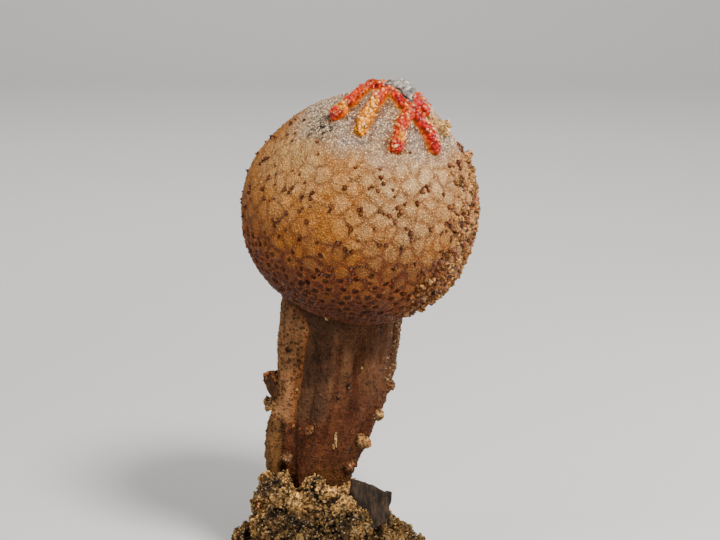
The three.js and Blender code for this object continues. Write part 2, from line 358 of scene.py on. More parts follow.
def lumps(centres, normals, radii, roughness, seed, subdivisions=2, spin=True):
    """Rough lumps, one for each centre: vertices, faces, and the number of the lump of each vertex."""
    frequency = 1.3  # bumps in the length of a radius
    base, base_faces = ball(subdivisions)
    count, size = len(centres), len(base)
    random = dice(seed)
    owner = np.repeat(np.arange(count), size)
    shape = np.tile(base, (count, 1))
    offsets = random.uniform(0, 200, (count, 3))
    swell = 1 + roughness * noise(shape + offsets[owner] / frequency, frequency, seed)
    local = shape * swell[:, None] * radii[owner]
    turn = random.uniform(0, 2 * np.pi, count) * spin
    first, second = tangents(normals)
    turned = first * np.cos(turn)[:, None] + second * np.sin(turn)[:, None]
    axes = np.stack([turned, np.cross(normals, turned), normals], 1)
    vertices = centres[owner] + np.einsum("ni,nij->nj", local, axes[owner])
    faces = (base_faces[None] + size * np.arange(count)[:, None, None]).reshape(-1, 3)
    return vertices, faces, owner


def joined(parts):
    """Several (vertices, faces, values) as one."""
    starts = np.cumsum([0] + [len(part[0]) for part in parts])
    vertices = np.concatenate([part[0] for part in parts])
    faces = np.concatenate([part[1] + start for part, start in zip(parts, starts)])
    return vertices, faces, np.concatenate([part[2] for part in parts])


def make(name, vertices, faces, material, tint, replaces=(), grain=1.0):
    """A smooth piece of the puffball, with a linear colour for each vertex and a second number for its
    material: its grain, or on the star where glints are painted.
    """
    mesh = smooth_mesh(name, vertices * MM, faces)
    colours = mesh.color_attributes.new("tint", "FLOAT_COLOR", "POINT")
    rgba = np.ones((len(vertices), 4), np.float32)
    rgba[:, :3] = np.clip(tint, 0, 1)
    rgba[:, 3] = np.clip(grain, 0, 1)
    colours.data.foreach_set("color", rgba.ravel())
    mesh.materials.append(MATERIALS[material])
    made = placed(name, mesh)
    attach(made, "root")
    if replaces:
        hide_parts(*replaces)
    return made


# ---- Materials -----------------------


MATERIALS = {}


class Shader:
    """A node material around one Principled shader, kept in MATERIALS. Lengths are in millimetres."""

    def __init__(self, name, **settings):
        material = bpy.data.materials.new(name)
        material.use_nodes = True
        MATERIALS[name] = material
        self.nodes = material.node_tree.nodes
        self.links = material.node_tree.links
        self.principled = self.nodes["Principled BSDF"]
        for socket, value in settings.items():
            self.set(socket.replace("_", " "), value)
        self.place = self.node("TexCoord", "Object")
        self.tint = self.node("Attribute", "Color", {"attribute_name": "tint"})
        # The tint's alpha: how strong the grains or pits are, and on the star where glints are painted.
        self.grain = self.tint.node.outputs["Alpha"]

    def link(self, source, socket):
        if isinstance(source, bpy.types.NodeSocket):
            self.links.new(source, socket)
        else:
            socket.default_value = source

    def set(self, socket, source):
        self.link(source, self.principled.inputs[socket])

    def node(self, kind, output, settings=(), **inputs):
        """An output of a new node with its own settings, whose inputs are set or linked."""
        node = self.nodes.new("ShaderNode" + kind)
        for name, value in dict(settings).items():
            setattr(node, name, value)
        for name, source in inputs.items():
            self.link(source, node.inputs[name.replace("_", " ")])
        return node.outputs[output]

    def scatter(self, weight, depth, radius):
        """Light that comes out about a depth from where it goes in, times a radius for each colour."""
        self.set("Subsurface Weight", weight)
        self.set("Subsurface Scale", depth * MM)
        self.set("Subsurface Radius", radius)

    def stretched(self, scale):
        return self.node("Mapping", "Vector", Vector=self.place, Scale=scale)

    def noise(self, cells, detail=3, vector=None, distortion=0.0):
        form = {"Scale": cells / MM, "Detail": detail, "Distortion": distortion}
        return self.node("TexNoise", "Fac", Vector=vector or self.place, **form)

    def cells(self, cells, output="Distance"):
        return self.node("TexVoronoi", output, Vector=self.place, Scale=cells / MM)

    def chances(self, cells):
        """Two chance numbers for each of the cells, from 0 to 1."""
        red = self.node("SeparateColor", "Red", Color=self.cells(cells, "Color"))
        return red, red.node.outputs["Green"]

    def ramp(self, source, low, high, from_value=0.0, to_value=1.0):
        ends = {"From Min": low, "From Max": high, "To Min": from_value, "To Max": to_value}
        smooth = {"interpolation_type": "SMOOTHSTEP"}
        return self.node("MapRange", "Result", smooth, Value=source, **ends)

    def math(self, operation, *sources):
        node = self.nodes.new("ShaderNodeMath")
        node.operation = operation
        for socket, source in zip(node.inputs, sources):
            self.link(source, socket)
        return node.outputs["Value"]

    def blend(self, share, a, b):
        """Colour a turned into b by a share."""
        node = self.nodes.new("ShaderNodeMix")
        node.data_type = "RGBA"
        self.link(share, node.inputs["Factor"])
        for name, source in (("A", a), ("B", b)):
            socket = next(s for s in node.inputs if s.name == name and s.type == "RGBA")
            self.link(source if isinstance(source, bpy.types.NodeSocket) else (*source, 1), socket)
        return next(s for s in node.outputs if s.type == "RGBA")

    def shade(self, colour, amount):
        """The colour times a number."""
        return self.node("VectorMath", "Vector", {"operation": "SCALE"}, Vector=colour, Scale=amount)

    def bump(self, *layers):
        """Normal from (height, depth in millimetres) layers."""
        below = {}
        for height, depth in layers:
            normal = self.node("Bump", "Normal", Height=height, Distance=depth * MM, **below)
            below = {"Normal": normal}
        self.set("Normal", normal)


def skin_material():
    """Tough, faintly translucent skin with fine pale grains."""
    made = Shader("skin", IOR=1.42, Specular_IOR_Level=0.2, Coat_Weight=0.03, Coat_Roughness=0.25)
    made.scatter(0.1, 0.5, (1.0, 0.4, 0.15))
    cell = made.cells(6.6)
    mottle = made.noise(2.2, 5)
    dot = made.ramp(cell, 0.12, 0.55, 1.0, -1.0)
    light = made.math("MULTIPLY_ADD", made.math("MULTIPLY", dot, made.grain), 0.5, 1.0)
    light = made.math("MULTIPLY", light, made.ramp(mottle, 0.3, 0.7, 0.85, 1.15))
    made.set("Base Color", made.shade(made.tint, light))
    made.set("Roughness", made.ramp(mottle, 0.3, 0.7, 0.4, 0.6))
    made.bump((made.ramp(cell, 0.0, 0.7, 1.0, 0.0), 0.1), (made.noise(9.0, 3), 0.03))


def wart_material():
    """Horny warts and grains, a little glossier than the skin."""
    wet = {"Coat_Weight": 0.03, "Coat_Roughness": 0.2}
    made = Shader("warts", Roughness=0.4, IOR=1.45, Specular_IOR_Level=0.22, **wet)
    made.scatter(0.06, 0.2, (1.0, 0.2, 0.1))
    grit = made.noise(7.0, 4)
    made.set("Base Color", made.shade(made.tint, made.ramp(grit, 0.3, 0.75, 0.7, 1.35)))
    made.bump((grit, 0.03), (made.cells(11.0), 0.01))


def mouth_material():
    """Moist, jelly-like flesh under a wet film, with painted glints: pale flecks where the tint's alpha
    says.
    """
    wet = {"Coat_Weight": 0.5, "Coat_Roughness": 0.06}
    made = Shader("mouth", Roughness=0.5, IOR=1.4, Specular_IOR_Level=0.1, **wet)
    made.scatter(0.06, 0.15, (1.0, 0.25, 0.1))
    patch = made.noise(3.0, 4)
    painted_glint = made.math("MULTIPLY", made.grain, made.ramp(made.noise(4.5, 2), 0.5, 0.57))
    flesh = made.shade(made.tint, made.ramp(patch, 0.3, 0.7, 0.6, 1.3))
    made.set("Base Color", made.blend(painted_glint, flesh, paint(RAY["glint"])))
    made.bump((patch, 0.06), (made.noise(7.0, 1), 0.012))


def tip_material():
    """The withered, ash-grey tip."""
    made = Shader("tip", Roughness=0.5, Coat_Weight=0.3)
    crease = made.noise(4.0, 5, distortion=0.8)
    # Darker where the bump dips: painted shade in the creases.
    made.set("Base Color", made.shade(made.tint, made.ramp(crease, 0.3, 0.7, 0.45, 1.45)))
    made.bump((crease, 0.1), (made.cells(9.0), 0.02))


def stalk_material():
    """Dull, fibrous flesh with fine grains and dark specks."""
    made = Shader("stalk", Roughness=0.62, IOR=1.4, Specular_IOR_Level=0.2)
    made.scatter(0.08, 0.4, (1.0, 0.4, 0.15))
    fibre = made.noise(2.2, 5, made.stretched((1, 1, 0.4)))
    grain = made.cells(6.5)
    chance, _ = made.chances(4.4)
    depth = made.math("MULTIPLY_ADD", chance, -0.55, made.cells(4.4))
    pit = made.math("MULTIPLY", made.ramp(depth, -0.08, 0.12, 1.0, 0.0), made.grain)
    shaded = made.shade(made.tint, made.ramp(fibre, 0.3, 0.7, 0.8, 1.2))
    shaded = made.shade(shaded, made.ramp(grain, 0.05, 0.6, 1.3, 0.75))
    made.set("Base Color", made.shade(shaded, made.math("MULTIPLY_ADD", pit, -0.6, 1.0)))
    made.bump(
        (fibre, 0.05),
        (made.ramp(grain, 0.0, 0.6, 1.0, 0.0), 0.06),
        (made.math("MULTIPLY", pit, -1.0), 0.1),
        (made.noise(12.0, 2), 0.02),
    )


def soil_material():
    """Crumbly soil with paler and darker grains."""
    made = Shader("soil", Roughness=0.9, Specular_IOR_Level=0.15)
    crumb = made.noise(4.0, 6)
    tone, rarity = made.chances(9.0)
    shaded = made.shade(made.tint, made.ramp(crumb, 0.3, 0.7, 0.25, 1.75))
    shaded = made.shade(shaded, made.ramp(tone, 0.0, 1.0, 0.55, 1.45))
    pale = made.ramp(rarity, 0.88, 0.96, 0.0, 0.5)
    made.set("Base Color", made.blend(pale, shaded, paint(SOIL["grit"])))
    made.bump((crumb, 0.2), (made.cells(7.0), 0.07), (made.noise(16.0, 3), 0.04))


def bark_material():
    """Weathered bark with fibres along Z."""
    made = Shader("bark", Roughness=0.9, Specular_IOR_Level=0.25)
    fibre = made.noise(6.0, 6, made.stretched((1, 1, 0.25)))
    patch = made.noise(1.3, 3)
    shaded = made.shade(made.tint, made.ramp(fibre, 0.3, 0.72, 0.6, 1.35))
    shaded = made.shade(shaded, made.ramp(patch, 0.35, 0.65, 0.75, 1.2))
    pale = made.ramp(made.noise(7.0, 3), 0.66, 0.75, 0.0, 0.4)
    made.set("Base Color", made.blend(pale, shaded, paint(BARK["worn"])))
    made.bump((fibre, 0.14), (made.noise(12.0, 3), 0.03))


def root_material():
    """Dry, broken root and straw."""
    made = Shader("root", Roughness=0.8)
    fibre = made.noise(5.0, 5, made.stretched((1, 1, 0.2)))
    made.set("Base Color", made.shade(made.tint, made.ramp(fibre, 0.3, 0.7, 0.65, 1.3)))
    made.bump((fibre, 0.06), (made.noise(12.0, 3), 0.02))


skin_material()
wart_material()
mouth_material()
tip_material()
stalk_material()
soil_material()
bark_material()
root_material()


# ---- The head's frame ----------------


class Head:
    """The spore case's own frame and its smooth outer surface."""

    DEGREE = 8
    ROUNDS = 6  # of the fit, each without the points that stand out after the last
    STANDS_OUT = 0.08  # mm off the smooth surface

    def __init__(self):
        forward, right = map(math.radians, HEAD_LEAN)
        self.turn = np.array(Matrix.Rotation(forward, 3, "X") @ Matrix.Rotation(right, 3, "Y"))
        points = solid("spore_case")
        sphere = np.linalg.lstsq(np.c_[2 * points, np.ones(len(points))], (points**2).sum(1), rcond=None)
        self.centre = sphere[0][:3]
        local = self.inside(points)
        radii = np.linalg.norm(local, axis=1)
        basis = self.basis(unit(local))
        kept = np.ones(len(radii), bool)
        for _ in range(self.ROUNDS):
            self.weights = np.linalg.lstsq(basis[kept], radii[kept], rcond=1e-9)[0]
            kept = np.abs(radii - basis @ self.weights) < self.STANDS_OUT

    def basis(self, directions):
        """Every product of powers of x, y and z of the two highest degrees."""
        x, y, z = directions.T
        return np.stack(
            [
                x**i * y**j * z ** (degree - i - j)
                for degree in (self.DEGREE - 1, self.DEGREE)
                for i in range(degree + 1)
                for j in range(degree + 1 - i)
            ],
            1,
        )

    def inside(self, points):
        return (points - self.centre) @ self.turn

    def radius(self, directions):
        return self.basis(directions) @ self.weights

    def surface(self, directions, height=0.0):
        """Points in the part's frame, height above the smooth surface."""
        reach = self.radius(directions) + height
        return (directions * reach[:, None]) @ self.turn.T + self.centre

    def height(self, points):
        """How far points of the part's frame stand above the smooth surface."""
        local = self.inside(points)
        return np.linalg.norm(local, axis=1) - self.radius(unit(local))


def direction(polar, azimuth):
    """Unit vectors in the head's frame, from degrees off the mouth's axis and round from the front."""
    polar, azimuth = np.radians(polar), np.radians(azimuth)
    return np.stack(
        [np.sin(polar) * np.sin(azimuth), -np.sin(polar) * np.cos(azimuth), np.cos(polar)], -1
    )


def angles(directions):
    """Degrees off the mouth's axis, and degrees round from the front."""
    polar = np.degrees(np.arccos(np.clip(directions[:, 2], -1, 1)))
    return polar, np.degrees(np.arctan2(directions[:, 0], -directions[:, 1]))


def near(directions, polar, azimuth, spread):
    """1 in one direction, falling to 0 about twice the spread, in degrees, from it."""
    apart = np.degrees(np.arccos(np.clip(directions @ direction(polar, azimuth), -1, 1)))
    return hill(apart, spread)


head = Head()


# ---- The spore case's skin -----------


def six_sided_grid(cells):
    """Even directions over a whole sphere, and the four-sided faces between them."""
    line = np.tan(np.linspace(-1, 1, cells + 1) * math.pi / 4)
    u, v = np.meshgrid(line, line, indexing="ij")
    one = np.ones_like(u)
    sides = [
        np.stack(side, -1).reshape(-1, 3)
        for side in ((one, u, v), (-one, v, u), (v, one, u), (u, -one, v), (u, v, one), (v, u, -one))
    ]
    corner = np.arange((cells + 1) ** 2).reshape(cells + 1, cells + 1)
    quads = np.stack([corner[:-1, :-1], corner[1:, :-1], corner[1:, 1:], corner[:-1, 1:]], -1)
    quads = quads.reshape(-1, 4)
    faces = np.concatenate([quads + i * (cells + 1) ** 2 for i in range(6)])
    rounded = np.round(unit(np.concatenate(sides)), 6)
    directions, numbers = np.unique(rounded, axis=0, return_inverse=True)
    return unit(directions), numbers.reshape(-1)[faces]


def scattered(count, jitter, seed):
    """Directions spread evenly over a sphere, each moved a little by chance."""
    turns = np.arange(count) * math.pi * (3 - math.sqrt(5))
    z = 1 - 2 * (np.arange(count) + 0.5) / count
    flat = np.sqrt(1 - z * z)
    even = np.stack([flat * np.cos(turns), flat * np.sin(turns), z], 1)
    spacing = math.sqrt(4 * math.pi / count)
    return unit(even + dice(seed).normal(size=even.shape) * jitter * spacing)


# Patches of the skin, as (degrees off the mouth's axis, degrees round from the front, spread in degrees).
SMUT_PATCH = (42, -62, 13)
# The pale patches: pale plates, partly a painted highlight where the light falls on the upper right.
PALE_PATCH = (50, 20, 32)
PALE_RIGHT_PATCH = (72, 74, 30)
BUFF_PATCH = (58, -58, 26)
AMBER_PATCH = (92, -66, 34)
GRITTY_PATCH = (108, 58, 30)


class Skin:
    """The regions of the skin, each as a share from 0 to 1 in every direction given."""

    def __init__(self, directions):
        wander = rough(directions * CASE_RADIUS, 0.35, 3, 3)
        polar, azimuth = angles(directions)
        polar = polar + 5 * wander
        self.polar = polar
        side = np.cos(np.radians(azimuth - 75))
        self.crown = step(54, 39, polar + 9 * side) * step(130, 60, np.abs(azimuth + 20) - 30)
        self.smut = step(0.2, 0.6, near(directions, *SMUT_PATCH) + 0.3 * wander)
        uneven = 0.9 + 0.3 * wander
        self.buff = near(directions, *BUFF_PATCH) * uneven
        self.amber = near(directions, *AMBER_PATCH) * uneven
        self.pale = near(directions, *PALE_PATCH) * (uneven + 0.1)
        self.pale = np.maximum(self.pale, 0.75 * near(directions, *PALE_RIGHT_PATCH) * uneven)
        # The low region is the case's own reddish brown, and it reaches higher on the right, where it
        # paints the shade that falls there.
        self.low = step(80, 114, polar + 7 * np.cos(np.radians(azimuth - 50)) - 2)
        self.foot = step(110, 138, polar)
        right = step(30, 70, azimuth + 10 * wander) * step(150, 125, azimuth)
        self.gritty = right * step(38, 52, polar) * step(128, 112, polar)
        self.gritty = np.maximum(self.gritty, step(0.3, 0.8, near(directions, *GRITTY_PATCH)))


def plate_pattern(directions):
    """Distances in millimetres from the middles of the two nearest plates, and the plates' numbers."""
    places = directions * CASE_RADIUS
    warp = np.stack([rough(places, 0.9, 2, seed) for seed in (21, 22, 23)], 1) * 0.03
    distances, numbers = nearest(unit(directions + warp), scattered(PLATES, 0.22, 11), 2)
    return distances * head.radius(directions)[:, None], numbers


def foot_pits():
    """Where the dark pits round the foot of the case lie, and their radii in millimetres."""
    random = dice(45)
    spots = scattered(PIT_SPOTS, 0.8, 46)
    region = Skin(spots)
    keep = 0.07 * step(92, 100, region.polar) + 0.93 * step(106, 122, region.polar)
    keep = keep * (1 - 0.5 * region.gritty) * step(176, 160, region.polar)
    spots = spots[random.uniform(size=len(spots)) < keep]
    radii = random.uniform(*PIT_RADII, len(spots)) * (0.7 + 0.3 * step(98, 116, Skin(spots).polar))
    taken = spaced(spots * CASE_RADIUS, 2.3 * radii)
    return spots[taken], radii[taken]


def in_pits(directions):
    """How far into a pit of the foot each direction is, onto its rim, and onto the dot in its middle."""
    spots, radii = FOOT_PITS
    places = directions * CASE_RADIUS
    warp = 0.06 * np.stack([noise(places, 1.9, seed) for seed in (24, 25, 26)], 1)
    apart, number = nearest(places + warp, spots * CASE_RADIUS)
    share = apart[:, 0] / radii[number[:, 0]]
    return step(1.05, 0.6, share), hill(share - 1.25, 0.25), step(0.4, 0.15, share)


def skin_relief(region, places, gap):
    """How far the skin stands above its smooth surface."""
    relief = 0.05 * step(0.0, 0.5, gap) * (1 - 0.6 * region.amber) * (1 - 0.6 * region.crown)
    relief += 0.022 * rough(places, 2.6, 2, 4) + 0.05 * rough(places, 0.5, 2, 8)
    relief += 0.045 * region.crown * rough(places, 1.6, 3, 9)
    return relief + 0.05 * np.maximum(region.low, region.gritty) * rough(places, 1.7, 2, 13)


def skin_colour(region, places, gap, tone, mouth_gap):
    """Linear colours, from the regions and from the distances to the plates' edges and to the mouth."""
    mottle = rough(places, 0.7, 3, 31)
    fine = rough(places, 3.1, 2, 33)
    plate = step(0.05, 0.6, gap + 0.1 * fine)
    flesh = coated(
        "tan",
        SKIN,
        ("amber", region.amber + 0.3 * mottle),
        ("buff", 1.1 * region.buff + 0.15 * mottle),
        ("pale", region.pale * (0.55 + 0.45 * plate) + 0.1 * mottle),
        ("russet", region.low * (1 - 0.42 * plate * (1 - region.foot)) + 0.12 * mottle),
    )
    dots = step(0.24, 0.02, gap) * step(-0.05, 0.5, fine + 0.5 * mottle)
    creases = step(0.16, 0.0, np.abs(rough(places, 1.5, 2, 36)))
    hollow = step(0.7, 0.15, mouth_gap) * step(-0.5, 0.3, rough(places, 1.1, 2, 35))
    return coated(
        flesh * (1 + 0.06 * tone * plate)[:, None],
        SKIN,
        ("line", 0.36 * (1 - plate) * (1 - 0.8 * region.crown) * (1 - 0.4 * region.amber)),
        ("umber", 0.55 * dots * (1 - region.crown) * (1 - 0.5 * region.low)),
        ("grey", region.crown * (0.8 + 0.4 * mottle)),
        ("smut", 0.7 * creases * region.crown),
        ("smut", region.smut * step(-0.3, 0.5, fine + 0.4 * mottle)),
        # The foot darkened to umber: partly its own dark brown, partly painted shade.
        ("umber", 0.9 * region.foot),
        ("hollow", 0.75 * hollow),
        ("mouth_edge", 0.8 * step(0.2, 0.05, mouth_gap)),
    )


def skin_look(directions):
    """The regions, relief and colour of the skin in every direction, and the distances to its plates."""
    region = Skin(directions)
    places = directions * head.radius(directions)[:, None]
    distances, numbers = plate_pattern(directions)
    gap = distances[:, 1] - distances[:, 0]
    tone = dice(12).normal(size=PLATES)[numbers[:, 0]]
    mouth_gap = nearest(head.surface(directions), MOUTH)[0][:, 0]
    pit, rim, dot = in_pits(directions)
    relief = skin_relief(region, places, gap) - PIT_DEPTH * pit + PIT_RIM * rim
    tint = coated(
        skin_colour(region, places, gap, tone, mouth_gap),
        SKIN,
        ("rim", 0.65 * rim * region.low * (1 - 0.5 * region.foot)),
        ("pit", 0.9 * pit),
        ("rim", 0.5 * dot),
    )
    return region, relief, tint, distances


def skin_piece():
    """Makes the skin and returns the directions where plates meet, farthest from their middles."""
    directions, faces = six_sided_grid(CASE_GRID)
    region, relief, tint, distances = skin_look(directions)
    grain = 0.7 + 0.3 * region.crown - 0.2 * region.amber
    vertices = head.surface(directions, relief)
    make("skin_of_the_case", vertices, faces, "skin", tint, ["spore_case"], grain)
    highest = np.full(len(directions), -1.0)
    a, b = edges_of(faces).T
    np.maximum.at(highest, a, distances[b, 0])
    return directions[distances[:, 0] > highest]


def studs(centres, normals, radii, heights, profile, sectors, seed):
    """Round studs on a surface. profile lists (share of the radius, share of the height)."""
    random = dice(seed)
    count = len(centres)
    first, second = tangents(normals)
    wobble = 1 + 0.16 * random.normal(size=(count, sectors))
    rings = []
    for out, up in profile:
        for i in range(sectors if out > 0 else 1):
            turn = 2 * math.pi * i / sectors
            across = first * math.cos(turn) + second * math.sin(turn)
            lift = heights * up * (1 + 0.16 * random.normal(size=count))
            reach = radii * out * wobble[:, i]
            rings.append(centres + across * reach[:, None] + normals * lift[:, None])
    vertices = np.stack(rings, 1).reshape(-1, 3)
    faces = [(0, 1 + i, 1 + (i + 1) % sectors) for i in range(sectors)]
    for ring in range(len(profile) - 2):
        inner, outer = 1 + ring * sectors, 1 + (ring + 1) * sectors
        for i in range(sectors):
            j = (i + 1) % sectors
            faces += [(inner + i, outer + i, outer + j), (inner + i, outer + j, inner + j)]
    size = 1 + (len(profile) - 1) * sectors
    faces = (np.array(faces)[None] + size * np.arange(count)[:, None, None]).reshape(-1, 3)
    level = np.array([0] + [i for i in range(1, len(profile)) for _ in range(sectors)])
    return vertices, faces, np.repeat(np.arange(count), size), np.tile(level, count)


def skin_studs(directions, radii, heights, profile, sectors, seed):
    """Studs that stand on the skin, and the skin's look under each of them."""
    look = skin_look(directions)
    centres = head.surface(directions, look[1])
    return studs(centres, directions @ head.turn.T, radii, heights, profile, sectors, seed), look


def away_from_mouth(directions, clearance):
    """Those of the directions whose place on the skin keeps clear of the star."""
    gap = nearest(head.surface(directions), MOUTH)[0][:, 0]
    return directions[gap > clearance]


def on_plate_edges(count, seed):
    """Directions on the lines between plates."""
    candidates = scattered(count, 0.6, seed)
    distances, _ = plate_pattern(candidates)
    return candidates[distances[:, 1] - distances[:, 0] < 0.1]


# Studs from the middle out, as (share of the radius, share of the height).
WART_PROFILE = [(0, 1.0), (0.3, 0.92), (0.58, 0.6), (0.88, 0.22), (1.25, -0.35)]
# Painted light on each wart: its top lighter, a painted highlight, and its foot darker, painted shade.
WART_LIGHT_AND_SHADE = np.array([1.8, 1.3, 0.7, 0.3, 0.2])  # from the top of a wart to its foot
GRAIN_PROFILE = [(0, 1.0), (1.0, -0.3)]


def warts(junctions):
    """Horny warts where plates meet, larger and in clusters on the right."""
    random = dice(41)
    spots = np.concatenate([junctions, on_plate_edges(EDGE_SPOTS, 43)])
    at_junction = np.arange(len(spots)) < len(junctions)
    region = Skin(spots)
    middle = step(60, 85, region.polar)
    keep = np.where(at_junction, 0.06 + 0.12 * middle, 0.008 + 0.02 * middle)
    keep = keep + np.where(at_junction, 0.12, 0.03) * region.pale * step(42, 55, region.polar)
    keep = keep + np.where(at_junction, 0.4, 0.16) * region.gritty
    keep = keep * (1 - 0.95 * region.crown) * step(1.0, 0.5, region.foot)
    spots = spots[random.uniform(size=len(spots)) < keep]
    region = Skin(spots)
    sociable = 0.12 + 0.3 * region.pale + 0.6 * region.gritty
    friends = random.uniform(size=(len(spots), 3)) < sociable[:, None]
    beside = [unit(spots[f] + random.normal(size=(f.sum(), 3)) * 0.03) for f in friends.T]
    spots = away_from_mouth(np.concatenate([spots, *beside]), 0.3)
    region = Skin(spots)
    radii = (0.13 + 0.06 * region.pale + 0.08 * region.gritty) * random.uniform(0.6, 1.35, len(spots))
    taken = spaced(spots * CASE_RADIUS, 1.6 * radii)
    spots, radii = spots[taken], radii[taken]
    heights = radii * random.uniform(1.1, 1.6, len(spots)) * (1 - 0.25 * Skin(spots).gritty)
    made, (region, *_) = skin_studs(spots, radii, heights, WART_PROFILE, 9, 47)
    vertices, faces, owner, level = made
    mood = 0.25 * random.normal(size=len(spots))
    tint = coated(
        "dark",
        WART,
        ("russet", 0.6 * region.gritty + 0.5 * region.pale + mood),
        ("tan", step(0.3, 1.0, region.gritty) * (0.3 + 1.5 * mood)),
    )
    tint = tint[owner] * WART_LIGHT_AND_SHADE[level][:, None]
    make("warts", vertices, faces, "warts", tint)


def granules():
    """Fine grains all over the case, each a little paler than the skin it stands on."""
    random = dice(57)
    spots = away_from_mouth(scattered(GRANULES, 0.5, 58), 0.12)
    radii = random.uniform(*GRANULE_RADII, len(spots))
    made, (region, _, tint, _) = skin_studs(spots, radii, 0.9 * radii, GRAIN_PROFILE, 5, 59)
    vertices, faces, owner, level = made
    spread = 0.16 + 0.4 * region.crown + 0.2 * region.pale
    lift = 1.15 + spread * random.normal(size=len(spots)) + 0.2 * region.crown
    pale = (0.06 + 0.12 * region.pale + 0.2 * region.crown) * (1 - 0.8 * region.low)
    tint = mix(tint, paint(SKIN["grain"]), pale) * np.clip(lift, 0.3, 2)[:, None]
    grimy = random.uniform(size=len(spots)) < 0.04 + 0.2 * region.crown + 0.1 * region.pale
    tint = mix(tint, paint(SKIN["grime"]), 0.8 * grimy)
    # Painted light on each grain: its top lighter, a painted highlight, and its foot darker, painted
    # shade.
    tint = tint[owner] * np.where(level == 0, 1.2, 0.75)[:, None]
    make("granules", vertices, faces, "warts", tint)


def case_crumbs():
    """Crumbs of flaked skin and soil that cling to the right of the case."""
    random = dice(51)
    places = away_from_mouth(scattered(CRUMB_SPOTS, 0.8, 53), 0.3)
    region = Skin(places)
    share = 0.42 * region.gritty**1.5 + 0.02 * region.foot + 0.002
    places = places[random.uniform(size=len(places)) < share * (1 - region.crown)]
    count = len(places)
    region, relief, skin, _ = skin_look(places)
    size = random.uniform(*FLAKE_RADII, count) * (0.55 + 0.5 * region.gritty)
    centres = head.surface(places, relief + 0.35 * size)
    radii = np.stack([size, size * random.uniform(0.6, 1, count), size * 0.9], 1)
    vertices, faces, owner = lumps(centres, places @ head.turn.T, radii, 0.7, 55)
    mood = random.uniform(size=count)
    tint = mix(mix(paint(FLAKE["dark"]), paint(FLAKE["pale"]), mood), skin, 0.35)[owner]
    make("crumbs_on_the_case", vertices, faces, "soil", tint)


MOUTH = solid("mouth_rays")
FOOT_PITS = foot_pits()
warts(skin_piece())
granules()
case_crumbs()


# ---- The mouth -----------------------

# Where the star's flesh is which colour, as (degrees off the axis, degrees round, spread in degrees).
YELLOW_PATCHES = [(31, -27, 6), (38, -25, 4), (26, -32, 3), (34, 7, 3.5), (31, -60, 3), (21, -34, 3)]
RED_PATCHES = [(37, -57, 3.4), (27, -64, 2.5), (13, -88, 5), (40, 4, 4), (24, 13, 3), (38, 42, 6)]
RED_PATCHES += [(30, 44, 6), (22, 38, 5), (11, 2, 4), (15, 58, 8), (33, 141, 12), (30, -158, 12)]


def mouth_piece():
    """The glossy star, pebbled, with its foot drawn into the skin."""
    vertices, faces = fine_copy("mouth_rays", 5)
    height = head.height(vertices)
    local = unit(head.inside(vertices))
    normals = vertex_normals(vertices, faces)
    pebble, mood = rounded_cells(vertices, 34, 61, 0.07)
    swell = (0.18 + 0.06 * mood) * pebble - 0.13 + 0.08 * rough(vertices, 1.8, 2, 63)
    vertices = vertices + normals * swell[:, None]
    polar, azimuth = angles(local)
    back = step(100, 130, np.abs(azimuth)) * step(8, 16, polar)
    sunk = 0.42 * step(0.4, 0.0, height) - 0.3 * back
    vertices = vertices - unit(vertices - head.centre) * sunk[:, None]

    patchy = rough(vertices, 1.1, 3, 65) + 0.25 * mood
    yellow = sum(near(local, *patch) for patch in YELLOW_PATCHES)
    red = sum(near(local, *patch) for patch in RED_PATCHES)
    flesh = coated(
        "orange",
        RAY,
        ("red", step(0.15, 0.65, red + 0.3 * patchy)),
        ("yellow", step(0.3, 0.75, yellow + 0.3 * patchy)),
    )
    # Painted light on the pebbles: the crevices between them darkened, painted shade over the flesh's own
    # deeper red, and their crests lighter, partly a painted highlight.
    crest = step(0.3, 0.9, pebble) * step(-0.4, 1.6, mood + 0.8 * patchy + 0.5 * yellow)
    tint = coated(
        flesh * mix(0.25, 1.1, step(0.1, 0.75, pebble))[:, None],
        RAY,
        ("crest", 0.4 * crest),
        ("seam", 0.75 * step(0.36, 0.1, height)),
    )
    # Painted glints: where the pale flecks that stand for the wet film's highlights go, on the pebbles'
    # tops.
    glints = 0.9 * step(0.35, 0.8, pebble) * step(-0.5, 0.8, 0.5 * mood + patchy)
    glints = glints * step(0.3, 0.7, height)
    make("mouth_star", vertices, faces, "mouth", tint, ["mouth_rays"], glints)


# Lumps of the withered tip, as (degrees off the axis, degrees round, radius, height of its middle).
TIP_LUMPS = [
    (13.5, 29, 0.28, 0.1),
    (11, 33, 0.34, 0.12),
    (8.5, 38, 0.4, 0.14),
    (6, 45, 0.46, 0.14),
    (3.5, 60, 0.54, 0.12),
    (1.2, 100, 0.66, 0.0),
    (2.4, 170, 0.64, -0.06),
    (4.5, -130, 0.42, -0.1),
    (6.5, -112, 0.34, -0.06),
    (9, -110, 0.32, -0.04),
    (11.5, -108, 0.28, -0.02),
]


